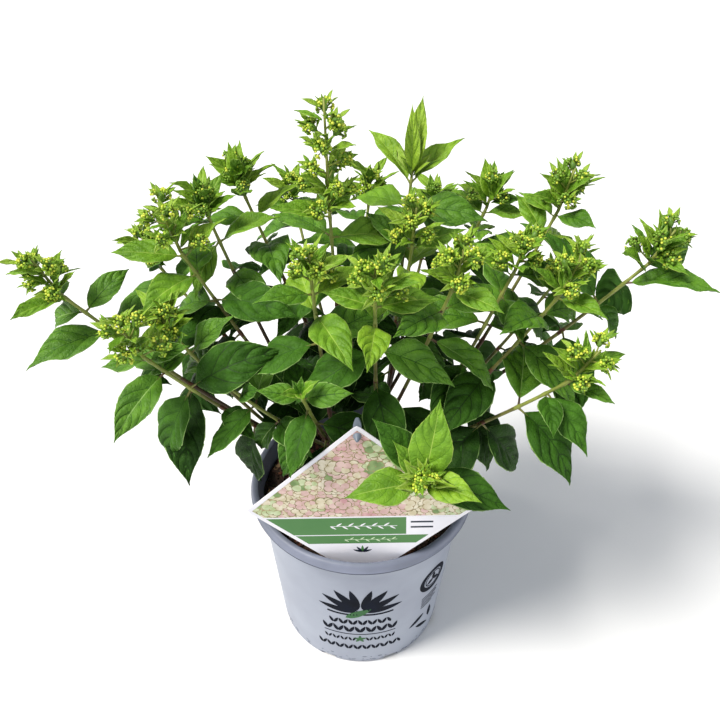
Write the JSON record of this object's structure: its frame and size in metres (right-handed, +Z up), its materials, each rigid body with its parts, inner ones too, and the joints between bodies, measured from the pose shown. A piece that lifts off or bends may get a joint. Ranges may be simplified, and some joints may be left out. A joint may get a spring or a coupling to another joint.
{
  "type": "potted hydrangea shrub",
  "caption": "Young panicle hydrangea in bud in a round nursery pot, with leafy shoots, budding flower heads and a square plain plant label.",
  "frame": {"origin": "centre of the flat underside of the pot", "axes": "+Z up along the pot's axis, -Y to the front where the label stands, +X to the right seen from the front"},
  "size_m": [0.589, 0.4111, 0.567],
  "materials": {
    "pot_plastic": "satin, with a grey rim",
    "bark_mix": "rough, damp",
    "woody_stem": "rough bark",
    "green_growth": "satin leaves and green stems",
    "label_plastic": "printed, semi-gloss",
    "holder_plastic": "matte grey"
  },
  "bodies": {
    "root": {"pot": "pot_plastic", "potting_bark": "bark_mix", "label_card": "label_plastic", "label_holder": "holder_plastic", "stool": "woody_stem", "cane_west": "woody_stem", "cane_northwest": "woody_stem", "cane_north": "woody_stem", "cane_northeast": "woody_stem", "cane_east": "woody_stem", "cane_southeast": "woody_stem", "cane_south": "woody_stem", "cane_southwest": "woody_stem", "shoots_west": "green_growth", "shoots_northwest": "green_growth", "shoots_north": "green_growth", "shoots_northeast": "green_growth", "shoots_east": "green_growth", "shoots_southeast": "green_growth", "shoots_south": "green_growth", "shoots_southwest": "green_growth"}
  },
  "joints": []
}
